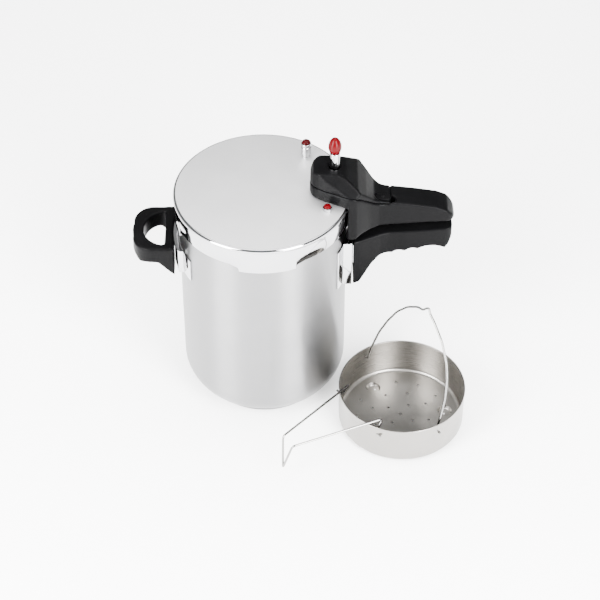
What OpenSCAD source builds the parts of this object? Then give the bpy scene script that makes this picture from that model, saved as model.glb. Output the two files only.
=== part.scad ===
// Stovetop pressure cooker with a bayonet lid and a steamer basket beside it.
// The origin is the centre of the pot's underside. The long handles point along +X.

/* [Pot] */
// Outer radius of the pot wall
pot_r = 110; // [100:1:132]
// Height of the pot rim above the table
pot_h = 320; // [266:1:384]
// Thickness of the pot wall
wall_t = 1.2; // [0.8:0.1:1.8]
// Outer radius of the curve between wall and bottom
corner_r = 45; // [30:1:60]
// Thickness of the pot bottom
bottom_t = 1.5; // [1:0.1:2.5]

/* [Base] */
// Radius of the steel cap under the pot
base_r = 83; // [60:1:88]
// Height of the cap and the heat spreader inside it
base_h = 6; // [5:0.5:9]
// Thickness of the cap's sheet
base_sheet_t = 0.8; // [0.5:0.1:1.2]

/* [Rim and bayonet] */
// How far the rim flange stands out from the wall
flange_w = 3.1; // [2.6:0.1:4]
// Thickness of the rim flange
flange_t = 1.2; // [1:0.1:2]
// Clearance between the flange and the lid skirt
skirt_gap = 0.5; // [0.4:0.1:1]
// Number of bayonet lugs
lug_count = 4; // [3:1:4]
// Width of each lug on the lid, in degrees
lug_angle = 37; // [30:1:40]
// Width of each tab on the pot, in degrees
tab_angle = 36; // [30:1:38]
// Direction of the first lug, in degrees from the handle
lug_start = -86; // [-90:1:-80]
// Height of the tabs
tab_t = 3.8; // [3:0.1:5]
// Clearance between tab and lug
tab_gap = 0.6; // [0.4:0.1:0.8]
// How far the lid turns to open, in degrees
lid_turn = 40; // [38:1:42]

/* [Lid] */
// Thickness of the lid plate
lid_t = 1.8; // [1.2:0.1:2.5]
// Thickness of the skirt
skirt_t = 1.2; // [1:0.1:1.6]
// Depth of the skirt between the lugs
skirt_h = 29; // [24:1:32]
// Depth of the skirt at the lugs
lug_h = 40; // [37:1:42]
// Thickness of the lip that turns in under the tabs
lip_t = 1.6; // [1.2:0.1:2]
// Radius of the rolled rim
bead_r = 3.4; // [3:0.1:4]

/* [Gasket] */
// Height of the sealing ring
seal_h = 8; // [7:0.5:9]
// Width of the sealing ring
seal_w = 9; // [7:0.5:10]

/* [Handles] */
// Half the width of both grips
grip_half = 18; // [15:0.5:21]
// Reach of the long handles beyond the pot wall
grip_reach = 139; // [125:1:160]
// Half the width of the long handle's root
root_half = 38; // [34:1:42]
// Height of the long handle's root
root_h = 74; // [68:1:80]
// Half the width of the short handle
helper_half = 43; // [38:1:48]
// Reach of the short handle beyond the pot wall
helper_reach = 61.5; // [56:0.5:70]
// Depth of the long handle's top below the lid's top
root_drop = 59; // [57:1:64]
// Depth of the short handle's top below the lid's top
helper_drop = 65; // [62:1:72]

/* [Valves] */
// Distance of the regulator from the lid's centre, measured inwards from the pot wall
vent_inset = 16.6; // [16:0.1:18]
// Radius of the regulator's stem
stem_r = 6.6; // [6:0.1:7.6]
// Travel of the regulator when it vents
regulator_travel = 6; // [3:0.5:6]
// Radius of the safety valve's barrel
barrel_r = 6.8; // [6.4:0.1:8]
// Travel of the safety valve's cap
safety_travel = 3; // [2:0.5:3]
// Travel of the pressure pin
pin_travel = 3; // [2:0.5:3]

/* [Lock] */
// Travel of the thumb slide
lock_travel = 6; // [4:0.5:6]

/* [Basket] */
// Outer radius of the basket
basket_r = 85; // [70:1:88]
// Height of the basket
basket_h = 62; // [50:1:72]
// Thickness of the basket's sheet
basket_t = 1; // [0.8:0.1:1.5]
// Radius of the wire of both basket handles
wire_r = 1.5; // [1.2:0.1:1.8]
// Height of the upright handle above its pivot
bail_h = 148; // [130:1:160]
// Lean of the upright handle from the vertical, in degrees
bail_lean = 13; // [5:1:20]

/* [Hidden] */

$fn = 96;
eps = 0.05;         // gap between pieces that are fixed face to face
play = 0.5;         // gap round pieces that slide
over = 1;           // how far a cutter runs past a face

// Levels and radii that follow from the driving sizes
seal_gap = 0.1;
lid_under = pot_h + seal_gap + seal_h + seal_gap;
lid_top = lid_under + lid_t;
skirt_in = pot_r + flange_w + skirt_gap;
skirt_out = skirt_in + skirt_t;
bead_out = skirt_out + 1;
lug_bottom = lid_top - lug_h;
tab_bottom = lug_bottom + lip_t + tab_gap;
lip_in = pot_r + 0.7;
root_top = lid_top - root_drop;
helper_top = lid_top - helper_drop;
helper_h = 46;
vent_x = pot_r - vent_inset;

// Places of the two smaller valves, and the thread radius of each
safety_xy = [57, 71];
indicator_xy = [84, -37.5];
vent_thread_r = 5;
safety_thread_r = 4;
indicator_thread_r = 3.5;
washer_t = 1.5;
nut_h = 5;
stub_h = 10;
indicator_cap_r = 4.75;

// Lid handle
seam_h = 18;        // height of the seam between base and cover above the lid
head_h = 43;        // height of the head above the lid
stud_x = [pot_r - 38.5, pot_r + 0.5];
stud_r = 3;
stud_flange_r = 4;
cover_screw_x = pot_r + 14;
cover_screw_y = 17;

// Regulator
pipe_r = 4;
pipe_h = 22;
weight_r = 12;
weight_low = 10;    // height of the weight's underside above the lid
weight_mid = 32;    // height of its shoulder
stem_top = 65;
knob_h = 23;
knob_r = 8.5;

// Lock: the bolt slides under the rim level, the button sits in the neck
bolt_half = 2.5;
bolt_low = lid_top - 20;
bolt_t = 4;
bolt_tip = pot_r + flange_w + 0.3;
button_x = pot_r + 46;
button_y = -9;
button_r = 5.2;
button_top = lid_top - 2.2;
channel_end = pot_r + 62;

// Basket, beside the pot
basket_x = pot_r + 77;
basket_y = -94;
basket_floor = 5;
basket_dir = 214;   // direction in which the folded handle points, in degrees
hole_r = wire_r + 0.3;
pivot_z = 46;
lifter_pivot_z = 50;
lifter_offset = 71.5;

// ---- helpers ----

function arc(cx, cy, r, a0, a1, n) =
    [for (i = [0:n]) [cx + r * cos(a0 + (a1 - a0) * i / n), cy + r * sin(a0 + (a1 - a0) * i / n)]];

function mirrored(half) =
    concat(half, [for (i = [len(half) - 1:-1:0]) [half[i][0], -half[i][1]]]);

// Points moved to the pot wall along X and to a level along the other axis
function moved(points, dx, dy) = [for (p = points) [p[0] + dx, p[1] + dy]];

module ring(r_in, r_out, z0, z1) {
    difference() {
        translate([0, 0, z0]) cylinder(r = r_out, h = z1 - z0);
        translate([0, 0, z0 - over]) cylinder(r = r_in, h = z1 - z0 + 2 * over);
    }
}

// Part of a ring, centred on the direction a and w degrees wide
module sector(r_in, r_out, z0, z1, a, w) {
    rotate([0, 0, a - w / 2])
        rotate_extrude(angle = w)
            translate([r_in, z0]) square([r_out - r_in, z1 - z0]);
}

// A solid with one outline seen from above and another seen from the side
module carved(plan, side, half, z0, z1) {
    intersection() {
        translate([0, 0, z0]) linear_extrude(height = z1 - z0) polygon(plan);
        translate([0, half, 0]) rotate([90, 0, 0]) linear_extrude(height = 2 * half) polygon(side);
    }
}

module hex(r, z0, z1) {
    translate([0, 0, z0]) cylinder(r = r, h = z1 - z0, $fn = 6);
}

module tube(r_in, r_out, z0, z1) {
    ring(r_in, r_out, z0, z1);
}

// A round-ended slot or bar along X
module oblong(length, r, z0, z1) {
    translate([0, 0, z0]) {
        cylinder(r = r, h = z1 - z0);
        translate([length, 0, 0]) cylinder(r = r, h = z1 - z0);
        translate([0, -r, 0]) cube([length, 2 * r, z1 - z0]);
    }
}

// A pan-head screw that points up, with its head's underside at z = 0
module screw(r, length, head_r, head_h) {
    cylinder(r = r, h = length);
    translate([0, 0, -head_h]) cylinder(r = head_r, h = head_h + eps);
}

// Wire through a list of points: round rods with a ball at each bend
module wire(points, r) {
    for (i = [0:len(points) - 2]) {
        rod(points[i], points[i + 1], r);
    }
    for (i = [1:len(points) - 2]) {
        translate(points[i]) sphere(r = 1.07 * r, $fn = 32);
    }
}

// A rod from a to b that runs a little into the ball at each end
module rod(a, b, r) {
    d = b - a;
    length = norm(d);
    run_in = 0.3;
    translate(a)
        rotate([0, acos(d[2] / length), atan2(d[1], d[0])])
            translate([0, 0, -run_in]) cylinder(r = r, h = length + 2 * run_in, $fn = 32);
}

// One ring of points round a helix, for a spring along Z
function coil_ring(r, wire, t, turns, h, sides) =
    [for (k = [0:sides - 1])
        let (a = 360 * turns * t, b = 360 * k / sides, q = r + wire * cos(b))
        [q * cos(a), q * sin(a), wire + (h - 2 * wire) * t + wire * sin(b)]];

module coil(r, wire, h, turns) {
    sides = 6;
    steps = turns * 10;
    points = [for (i = [0:steps]) each coil_ring(r, wire, i / steps, turns, h, sides)];
    walls = [for (i = [0:steps - 1], k = [0:sides - 1])
        [i * sides + k, (i + 1) * sides + k, (i + 1) * sides + (k + 1) % sides, i * sides + (k + 1) % sides]];
    caps = [[for (k = [0:sides - 1]) k], [for (k = [sides - 1:-1:0]) steps * sides + k]];
    polyhedron(points, concat(walls, caps));
}

// ---- pot ----

function pot_outline(r, corner, z0, z1) =
    concat([[0, z0]], arc(r - corner, z0 + corner, corner, -90, 0, 20), [[r, z1], [0, z1]]);

module pot_shell() {
    color("silver") {
        difference() {
            union() {
                rotate([0, 0, lug_start + lid_turn])
                    rotate_extrude() polygon(pot_outline(pot_r, corner_r, base_h, pot_h));
                // Rim flange, open where the lugs pass when the lid is turned
                for (i = [0:lug_count - 1]) {
                    sector(pot_r - wall_t / 2, pot_r + flange_w, pot_h - flange_t, pot_h,
                        lug_start + lid_turn - (0.5 - i) * 360 / lug_count, 360 / lug_count - lug_angle - 2);
                }
            }
            rotate([0, 0, lug_start + lid_turn])
                rotate_extrude()
                    polygon(pot_outline(pot_r - wall_t, corner_r - wall_t, base_h + bottom_t, pot_h + over));
        }
        for (i = [0:lug_count - 1]) {
            sector(pot_r - wall_t / 2, pot_r + flange_w, tab_bottom, tab_bottom + tab_t,
                lug_start + i * 360 / lug_count, tab_angle);
        }
    }
}

module base_disc() {
    color("lightgray")
        translate([0, 0, base_sheet_t + eps])
            cylinder(r = base_r - base_sheet_t - eps, h = base_h - base_sheet_t - 2 * eps);
}

module base_cap() {
    color("gray") {
        difference() {
            rotate_extrude()
                polygon(concat([[0, 0]], arc(base_r - 2, 2, 2, -90, 0, 5), [[base_r, base_h - eps], [0, base_h - eps]]));
            translate([0, 0, base_sheet_t]) cylinder(r = base_r - base_sheet_t, h = base_h);
        }
    }
}

// Welded bracket: two wings on the wall and a tongue that the handle slips over
module bracket(wing_angle, wing_h, tongue_half, tongue_h, tongue_len, top) {
    wing_t = 1.8;
    difference() {
        sector(pot_r + eps, pot_r + eps + wing_t, top - wing_h, top, 0, wing_angle);
        translate([0, 0, top - wing_h / 2])
            rotate([0, 90, 0]) cylinder(r = tongue_h / 4, h = 2 * pot_r);
    }
    difference() {
        translate([pot_r + 1, -tongue_half, top - wing_h / 2 - tongue_h / 2])
            cube([tongue_len, 2 * tongue_half, tongue_h]);
        translate([0, 0, top - wing_h / 2])
            rotate([0, 90, 0]) cylinder(r = tongue_h / 4, h = pot_r + tongue_len / 2);
        cylinder(r = pot_r + eps + wing_t / 2, h = 2 * pot_h);
    }
}

// Bright sleeve round the bracket's tongue, curved to the wall on one side
module ferrule(half, height, depth, bow, top, hole_half, hole_h) {
    outer_r = (half * half + bow * bow) / (2 * bow);
    difference() {
        translate([0, -half, top - height]) cube([pot_r + depth, 2 * half, height]);
        translate([0, 0, top - height - over])
            cylinder(r = pot_r + 2, h = height + 2 * over);
        difference() {
            translate([pot_r - half, -half - over, top - height - over])
                cube([2 * half + depth, 2 * half + 2 * over, height + 2 * over]);
            translate([pot_r + depth - outer_r, 0, top - height - 2 * over])
                cylinder(r = outer_r, h = height + 4 * over, $fn = 360);
        }
        translate([pot_r, -hole_half, top - height / 2 - hole_h / 2])
            cube([depth + over, 2 * hole_half, hole_h]);
    }
}

helper_wing = 66;
helper_wing_h = 34;
helper_tongue_half = 24;
helper_tongue_h = 22;
helper_tongue_len = 12;
helper_ferrule_h = 37;
helper_ferrule_depth = 7.6;
helper_bow = 7.4;
ferrule_drop = 3;

module helper_bracket() {
    color("silver")
        rotate([0, 0, 180])
            bracket(helper_wing, helper_wing_h, helper_tongue_half, helper_tongue_h, helper_tongue_len,
                helper_top - ferrule_drop - 1.5);
}

module helper_ferrule() {
    color("silver")
        rotate([0, 0, 180])
            ferrule(helper_half, helper_ferrule_h, helper_ferrule_depth, helper_bow,
                helper_top - ferrule_drop, helper_tongue_half + eps, helper_tongue_h + 2 * eps);
}

helper_mid = helper_top - ferrule_drop - 1.5 - helper_wing_h / 2;
helper_screw_x = pot_r + 9.6;
helper_screw_y = 14;

module helper_plan() {
    r_out = (helper_half * helper_half + helper_bow * helper_bow) / (2 * helper_bow);
    reach = helper_reach;
    difference() {
        intersection() {
            translate([pot_r - 20, -helper_half]) square([reach + 20, 2 * helper_half]);
            union() {
                translate([pot_r + reach - helper_half, 0]) scale([1, 1]) circle(r = helper_half);
                translate([pot_r - 20, -helper_half]) square([reach + 20 - helper_half, 2 * helper_half]);
                for (s = [-1, 1]) {
                    translate([pot_r + reach - 28, s * (helper_half - 27)]) circle(r = 27);
                }
            }
        }
        translate([pot_r + helper_ferrule_depth + 0.2 - r_out, 0]) circle(r = r_out);
    }
}

module helper_handle() {
    hole_in = pot_r + 18.5;
    hole_out = pot_r + 47;
    hole_half = 32;
    side = moved(concat([[6, 0], [64, 0], [64, -12], [60, -19]],
        arc(36, -60, 36, 65, 105, 6), [[12, -41], [6, -helper_h]]), pot_r, helper_top);
    color("dimgray")
        rotate([0, 0, 180])
            difference() {
                intersection() {
                    translate([0, 0, helper_top - helper_h]) linear_extrude(height = helper_h) helper_plan();
                    translate([0, helper_half + over, 0])
                        rotate([90, 0, 0])
                            linear_extrude(height = 2 * helper_half + 2 * over) polygon(side);
                }
                intersection() {
                    translate([hole_in, -hole_half, helper_top - helper_h - over])
                        cube([hole_out - hole_in, 2 * hole_half, helper_h + 2 * over]);
                    translate([hole_out - hole_half - 1, 0, helper_top - helper_h - over])
                        cylinder(r = hole_half + 1, h = helper_h + 2 * over);
                }
                translate([pot_r, -helper_tongue_half - play, helper_mid - helper_tongue_h / 2 - play])
                    cube([helper_tongue_len + 1 + play, 2 * helper_tongue_half + 2 * play,
                        helper_tongue_h + 2 * play]);
                for (s = [-1, 1]) {
                    translate([helper_screw_x, s * helper_screw_y, helper_top - helper_h - over])
                        cylinder(r = 2.2, h = helper_h / 2);
                }
            }
}

module helper_screws() {
    color("silver")
        rotate([0, 0, 180])
            for (s = [-1, 1]) {
                translate([helper_screw_x, s * helper_screw_y, helper_top - helper_h + 3])
                    cylinder(r = 2, h = helper_mid - helper_tongue_h / 2 - (helper_top - helper_h + 3) - eps);
            }
}

// ---- long handle on the pot ----

handle_wing = 56;
handle_wing_h = 64;
tongue_half = 20;
tongue_h = 34;
tongue_len = 30;
handle_ferrule_h = 72;
handle_ferrule_depth = 8.8;
handle_bow = 1.8;
handle_mid = root_top - 1.5 - handle_wing_h / 2 - 3;
handle_face = pot_r + handle_ferrule_depth + 0.2;
handle_screw_x = pot_r + 20;
handle_screw_y = 12;

module handle_bracket() {
    color("silver")
        bracket(handle_wing, handle_wing_h, tongue_half, tongue_h, tongue_len, handle_mid + handle_wing_h / 2);
}

module handle_ferrule() {
    color("silver")
        ferrule(root_half, handle_ferrule_h, handle_ferrule_depth, handle_bow,
            handle_mid + handle_ferrule_h / 2, tongue_half + eps, tongue_h + 2 * eps);
}

// Half outline of the grip from above, from the root to the end
function grip_plan(x0, half0) =
    mirrored(concat(
        [[x0, half0], [x0 + 6, half0 - 1.5], [x0 + 22, half0 - 9], [x0 + 36, grip_half + 3],
            [x0 + 48, grip_half]],
        arc(pot_r + grip_reach - 9, grip_half - 9, 9, 90, 0, 6)));

module pot_handle() {
    // Underside with finger scallops
    scallops = [[69.8, -42.1, 11.7], [87.9, -38.6, 11.7], [113.2, -54.9, 32.6]];
    end_x = pot_r + grip_reach - 1;
    side = concat(
        [[handle_face, root_top]],
        [[pot_r + 34, root_top + 0.5], [pot_r + 71, root_top + 2.5], [pot_r + 110, root_top + 5.5],
            [end_x - 4, root_top + 8.5], [end_x, root_top + 11], [end_x, root_top - 8],
            [end_x - 4, root_top - 20], [end_x - 8, root_top - 26]],
        [[pot_r + 97, root_top - 27.7], [pot_r + 61.4, root_top - 35.2], [pot_r + 52, root_top - 34]],
        [[pot_r + 43, root_top - 37], [pot_r + 33, root_top - 48], [pot_r + 24, root_top - 63],
            [pot_r + 18, root_top - root_h + 1], [pot_r + 13, root_top - root_h],
            [handle_face, root_top - root_h]]);
    color("dimgray")
        difference() {
            carved(grip_plan(handle_face, root_half - 2), side, root_half + over,
                root_top - root_h - over, root_top + 20);
            for (s = scallops) {
                translate([pot_r + s[0], 0, root_top + s[1]])
                    rotate([90, 0, 0]) cylinder(r = s[2], h = 3 * grip_half, center = true);
            }
            translate([pot_r, -tongue_half - play, handle_mid - tongue_h / 2 - play])
                cube([tongue_len + 2, 2 * tongue_half + 2 * play, tongue_h + 2 * play]);
            for (s = [-1, 1]) {
                translate([handle_screw_x, s * handle_screw_y, root_top - root_h - over]) {
                    cylinder(r = 2.7, h = root_h / 2);
                    cylinder(r = 4.9, h = 6 + over);
                }
            }
        }
}

module handle_screws() {
    shank = handle_mid - tongue_h / 2 - (root_top - root_h + 6) - eps;
    color("silver")
        for (s = [-1, 1]) {
            translate([handle_screw_x, s * handle_screw_y, root_top - root_h + 6 - 2 * eps])
                screw(2.5, shank, 4.5, 3);
        }
}

// ---- seal ----

module gasket() {
    outer = skirt_in - 0.4;
    inner = outer - seal_w;
    low = pot_h + seal_gap;
    color("gainsboro")
        difference() {
            ring(inner, outer, low, low + seal_h);
            ring(inner - over, outer - 4.5, low + 2.5, low + seal_h - 2.5);
        }
}

// ---- lid ----

// Side view of one gap between two lugs, curling down into the lugs at both ends
function gap_side() =
    let (half = skirt_out * sin(180 / lug_count - lug_angle / 2),
        inner = skirt_out * sin(180 / lug_count - lug_angle / 2 - 7),
        rise = lug_h - skirt_h)
    concat([for (p = [[half, -over], [half, 0.35 * rise], [half - 1.2, 0.6 * rise], [half - 4, 0.8 * rise],
        [inner - 2, 0.95 * rise], [inner - 8, rise]]) p],
        [for (p = [[-inner + 8, rise], [-inner + 2, 0.95 * rise], [-half + 4, 0.8 * rise],
            [-half + 1.2, 0.6 * rise], [-half, 0.35 * rise], [-half, -over]]) p]);

module lid() {
    color("silver")
        difference() {
            union() {
                translate([0, 0, lid_under]) cylinder(r = skirt_in - 1, h = lid_t);
                rotate_extrude()
                    translate([bead_out - bead_r, lid_top - bead_r - 0.2]) circle(r = bead_r);
                difference() {
                    rotate([0, 0, lug_start + 180 / lug_count])
                        ring(skirt_in, skirt_out, lug_bottom, lid_top - bead_r);
                    for (i = [0:lug_count - 1]) {
                        rotate([0, 0, lug_start + (i + 0.5) * 360 / lug_count])
                            translate([skirt_in / 2, 0, lug_bottom])
                                rotate([90, 0, 90]) linear_extrude(height = skirt_in) polygon(gap_side());
                    }
                }
                for (i = [0:lug_count - 1]) {
                    sector(lip_in, skirt_in + skirt_t / 2, lug_bottom, lug_bottom + lip_t,
                        lug_start + i * 360 / lug_count, lug_angle - 1);
                }
            }
            // Room for the gasket under the plate
            translate([0, 0, lid_top - skirt_h])
                cylinder(r = skirt_in - eps, h = lid_under - lid_top + skirt_h);
            translate([vent_x, 0, lid_under - over])
                cylinder(r = vent_thread_r + 0.1, h = lid_t + 2 * over);
            translate([safety_xy[0], safety_xy[1], lid_under - over])
                cylinder(r = safety_thread_r + 0.1, h = lid_t + 2 * over);
            translate([indicator_xy[0], indicator_xy[1], lid_under - over])
                cylinder(r = indicator_thread_r + 0.1, h = lid_t + 2 * over);
            // Window for the lock bolt
            translate([skirt_in - over, -bolt_half - play, bolt_low - play])
                cube([skirt_t + 2 * over, 2 * bolt_half + 2 * play, bolt_t + 2 * play]);
        }
}

module lid_studs() {
    color("silver")
        for (x = stud_x) {
            translate([x, 0, lid_top + eps]) {
                ring(1.6, stud_r, 0, 9);
                ring(1.6, stud_flange_r, 0, 1.5);
            }
        }
}

module stud_screws() {
    color("gray")
        for (x = stud_x) {
            translate([x, 0, lid_top + 2.5]) {
                cylinder(r = 1.55, h = 9);
                translate([0, 0, 8.8]) cylinder(r = 3.5, h = 2.6);
            }
        }
}

// Half outline of the handle's head on the lid, running out into the grip
function head_plan() =
    mirrored(concat(moved(
        [[-48.6, 0.5], [-47.6, 7.5], [-44, 14], [-38, 19], [-30, 24.2], [-15, 30.8], [-4, 36.5], [3, 39.3],
            [11, 39.3], [18, 34.5], [30, 25.5], [42, grip_half + 1.5], [55, grip_half]], pot_r, 0),
        arc(pot_r + grip_reach + 1 - 10, grip_half - 10, 10, 90, 0, 6)));

function cover_plan() =
    mirrored(moved(
        [[-48.3, 0.5], [-47.3, 7.2], [-43.8, 13.6], [-37.9, 18.6], [-29.9, 23.8], [-14.9, 30.4], [-4, 36.1],
            [3, 38.9], [10.8, 38.9], [17.7, 34.2], [29.7, 25.2], [42, 18.5], [56, 17.5]], pot_r, 0));

// Front view of the cover, half of it: upright sides that lean in above the seam
function cover_front() =
    mirrored([[lid_top - 30, 41], [lid_top + seam_h - 1, 41], [lid_top + head_h - 2, 20.5], [lid_top + head_h + 9, 19]]);

module lock_room(extra) {
    // Channel of the bolt, and the well of the button above it
    translate([pot_r + 4, -bolt_half - extra, bolt_low - extra])
        cube([channel_end - pot_r - 4, 2 * bolt_half + 2 * extra, bolt_t + 2 * extra]);
    translate([button_x - 9, button_y - 4 - extra, bolt_low - extra])
        cube([channel_end - button_x + 3, bolt_half - button_y + 4 + 2 * extra, button_top - 6 - bolt_low + extra]);
    translate([button_x - button_r, button_y, 0])
        oblong(2 * button_r + lock_travel, button_r + extra, bolt_low, lid_top + head_h);
}

module lid_handle_base() {
    side = moved(
        [[-48.6, 0.3], [-48.6, seam_h], [8, seam_h], [16, seam_h - 4], [24, seam_h - 12], [34, -3], [42, -7.6],
            [56, -8.6], [57, -5.5], [85, -9], [116, -14], [130, -20], [138, -29], [141, -36],
            [136, -38], [102, -40], [69, -43], [40, -45], [18, -47], [10, -52], [-6, -52], [-6, 0.3]],
        pot_r, lid_top);
    color("dimgray")
        difference() {
            carved(head_plan(), side, root_half + 3, lid_top - 60, lid_top + head_h);
            // Clear of the lid's rim
            translate([0, 0, lid_top - 70]) cylinder(r = bead_out + 0.3, h = 70 + 0.2);
            translate([vent_x, 0, lid_top - over]) cylinder(r = weight_r + 1.2, h = seam_h + 2 * over);
            for (x = stud_x) {
                translate([x, 0, lid_top - over]) {
                    cylinder(r = stud_r + 0.1, h = seam_h);
                    cylinder(r = stud_flange_r + 0.2, h = 1.8 + over);
                    translate([0, 0, 10.1 + over]) cylinder(r = 3.8, h = seam_h);
                }
            }
            translate([indicator_xy[0], indicator_xy[1], lid_top - over]) cylinder(r = 7.4, h = 8 + over);
            lock_room(play);
            for (s = [-1, 1]) {
                translate([cover_screw_x, s * cover_screw_y, lid_top - 60]) {
                    cylinder(r = 2.2, h = 90);
                    cylinder(r = 4.2, h = 60);
                }
            }
        }
}

module lid_handle_cover() {
    gap = 0.4;
    side = moved(
        [[-48.2, seam_h + gap], [-47.5, 34], [-44, 41], [-38, head_h + 0.5], [-12, head_h - 0.5], [-2, 38.5],
            [13, 27.5], [24, 15.5], [35, 2], [42, -2.5], [48, -4.5], [56, -5.5],
            [56, -8.6 + gap], [42, -7.6 + gap], [34, -3 + gap], [24, seam_h - 12 + gap],
            [16, seam_h - 4 + gap], [8, seam_h + gap]], pot_r, lid_top);
    color("dimgray")
        difference() {
            intersection() {
                carved(cover_plan(), side, root_half + 3, lid_top - 20, lid_top + head_h + 5);
                rotate([0, -90, 0])
                    translate([0, 0, -pot_r - 70]) linear_extrude(height = 140) polygon(cover_front());
            }
            // Room for the regulator's weight, its hole in the roof, and the recess round it
            translate([vent_x, 0, lid_top + seam_h])
                cylinder(r = weight_r + 1.2, h = weight_mid + regulator_travel + 0.6 - seam_h);
            translate([vent_x, 0, lid_top]) cylinder(r = stem_r + 0.7, h = head_h + 10);
            translate([vent_x, 0, lid_top + head_h - 1.6]) cylinder(r = stem_r + 3.6, h = 10);
            lock_room(play);
            for (x = stud_x) {
                translate([x, 0, lid_top + seam_h - over]) cylinder(r = 3.8, h = 2 + over);
            }
            for (s = [-1, 1]) {
                translate([cover_screw_x, s * cover_screw_y, lid_top]) cylinder(r = 1.7, h = 23);
            }
        }
}

module cover_screws() {
    color("gray")
        for (s = [-1, 1]) {
            translate([cover_screw_x, s * cover_screw_y, lid_top - 2 * eps]) screw(1.6, 22, 3.8, 2.4);
        }
}

module vent_pipe() {
    color("silver")
        translate([vent_x, 0, 0])
            difference() {
                union() {
                    translate([0, 0, lid_under - stub_h]) cylinder(r = vent_thread_r, h = stub_h + lid_t + over);
                    hex(8, lid_top + eps, lid_top + 6);
                    translate([0, 0, lid_top + 5]) cylinder(r = pipe_r, h = pipe_h - 5);
                }
                translate([0, 0, lid_under - stub_h - over]) cylinder(r = 1.5, h = stub_h + pipe_h + 10);
            }
}

// A hexagon nut on the thread of one valve, below its washer
module nut_at(xy, thread, r) {
    translate([xy[0], xy[1], 0])
        difference() {
            hex(r, lid_under - washer_t - eps - nut_h, lid_under - washer_t - eps);
            translate([0, 0, lid_under - stub_h - over]) cylinder(r = thread + eps, h = stub_h + over);
        }
}

module vent_nut() {
    color("silver") nut_at([vent_x, 0], vent_thread_r, 8.5);
}

module safety_nut() {
    color("silver") nut_at(safety_xy, safety_thread_r, 7.5);
}

module indicator_nut() {
    color("silver") nut_at(indicator_xy, indicator_thread_r, 6.8);
}

module valve_seals() {
    spots = [[vent_x, 0, vent_thread_r, 8.2], [safety_xy[0], safety_xy[1], safety_thread_r, 7.4],
        [indicator_xy[0], indicator_xy[1], indicator_thread_r, 6.8]];
    color("black")
        for (s = spots) {
            translate([s[0], s[1], 0]) ring(s[2] + eps, s[3], lid_under - washer_t, lid_under - eps);
        }
}

barrel_low = 4;
barrel_top = 21;

seat_h = 8;          // level of the valve seat above the lid
plug_t = 3.5;
plunger_r = 4.2;
disc_t = 2;
rod_r = 1.2;

module safety_valve_body() {
    color("silver")
        translate([safety_xy[0], safety_xy[1], 0])
            difference() {
                union() {
                    translate([0, 0, lid_under - stub_h]) cylinder(r = safety_thread_r, h = stub_h + lid_t + 1);
                    translate([0, 0, lid_top + eps]) cylinder(r = safety_thread_r + 1.5, h = barrel_low);
                    translate([0, 0, lid_top + barrel_low]) cylinder(r = barrel_r, h = barrel_top - barrel_low);
                }
                translate([0, 0, lid_top + seat_h]) cylinder(r = plunger_r + 0.3, h = barrel_top);
                translate([0, 0, lid_under - stub_h - over]) cylinder(r = 1.5, h = 2 * stub_h + 10);
            }
}

module safety_plug() {
    color("silver")
        translate([safety_xy[0], safety_xy[1], 0])
            ring(rod_r + 0.3, plunger_r + 0.25, lid_top + barrel_top - plug_t, lid_top + barrel_top - 0.1);
}

module safety_cap() {
    dome_h = 4;
    dome_r = barrel_r - 0.6;
    color("crimson")
        translate([safety_xy[0], safety_xy[1], lid_top]) {
            translate([0, 0, seat_h + eps]) cylinder(r = plunger_r, h = disc_t);
            translate([0, 0, seat_h + 1]) cylinder(r = rod_r, h = barrel_top - seat_h);
            translate([0, 0, barrel_top + 0.3])
                rotate_extrude()
                    polygon(concat([[0, 0], [dome_r, 0]], [for (i = [0:10])
                        [dome_r * cos(9 * i), 0.6 + (dome_h - 0.6) * sin(9 * i)]]));
        }
}

module safety_spring() {
    low = seat_h + disc_t + 0.15;
    color("silver")
        translate([safety_xy[0], safety_xy[1], lid_top + low])
            coil(3.2, 0.5, barrel_top - plug_t - low - 0.1, 5);
}

module indicator_guide() {
    color("silver")
        translate([indicator_xy[0], indicator_xy[1], 0])
            difference() {
                union() {
                    translate([0, 0, lid_under - stub_h + 1])
                        cylinder(r = indicator_thread_r, h = stub_h + lid_t);
                    hex(6.6, lid_top + eps, lid_top + 4.6);
                }
                translate([0, 0, lid_under - stub_h]) cylinder(r = 2.1, h = stub_h + 12);
            }
}

module indicator_pin() {
    collar_top = lid_under - stub_h + 1 - pin_travel - 0.4;
    color("crimson")
        translate([indicator_xy[0], indicator_xy[1], 0]) {
            translate([0, 0, collar_top - 1]) cylinder(r = 2.05, h = lid_top + 5 - collar_top + 2);
            translate([0, 0, lid_top + 4.9]) cylinder(r = indicator_cap_r, h = 2.2);
            translate([0, 0, lid_top + 7]) cylinder(r = indicator_cap_r - 1.2, h = 0.9);
            translate([0, 0, collar_top - 1.5]) cylinder(r = 3.2, h = 1.5);
        }
}

// ---- regulator ----

module regulator_weight() {
    color("silver")
        translate([vent_x, 0, lid_top])
            difference() {
                union() {
                    translate([0, 0, weight_low]) cylinder(r = weight_r, h = weight_mid - weight_low);
                    translate([0, 0, weight_mid - over]) cylinder(r = stem_r, h = stem_top - weight_mid + over);
                    translate([0, 0, stem_top - over]) cylinder(r = 3, h = 9 + over);
                }
                translate([0, 0, weight_low - over]) cylinder(r = pipe_r + 0.3, h = pipe_h - weight_low + over + 0.1);
            }
}

module regulator_knob() {
    color("crimson")
        translate([vent_x, 0, lid_top + stem_top])
            difference() {
                rotate_extrude()
                    polygon(concat([[0, 0.1]],
                        [for (i = [0:24])
                            let (t = i / 24, a = -62 + 152 * t)
                            [knob_r * cos(a) * (1 - 0.1 * sin(a)), knob_h * 0.47 * (1 + sin(a) * 1.13) + 0.1]]));
                translate([0, 0, -over]) cylinder(r = 3.05, h = 9.2 + over);
            }
}

// ---- lock ----

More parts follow.
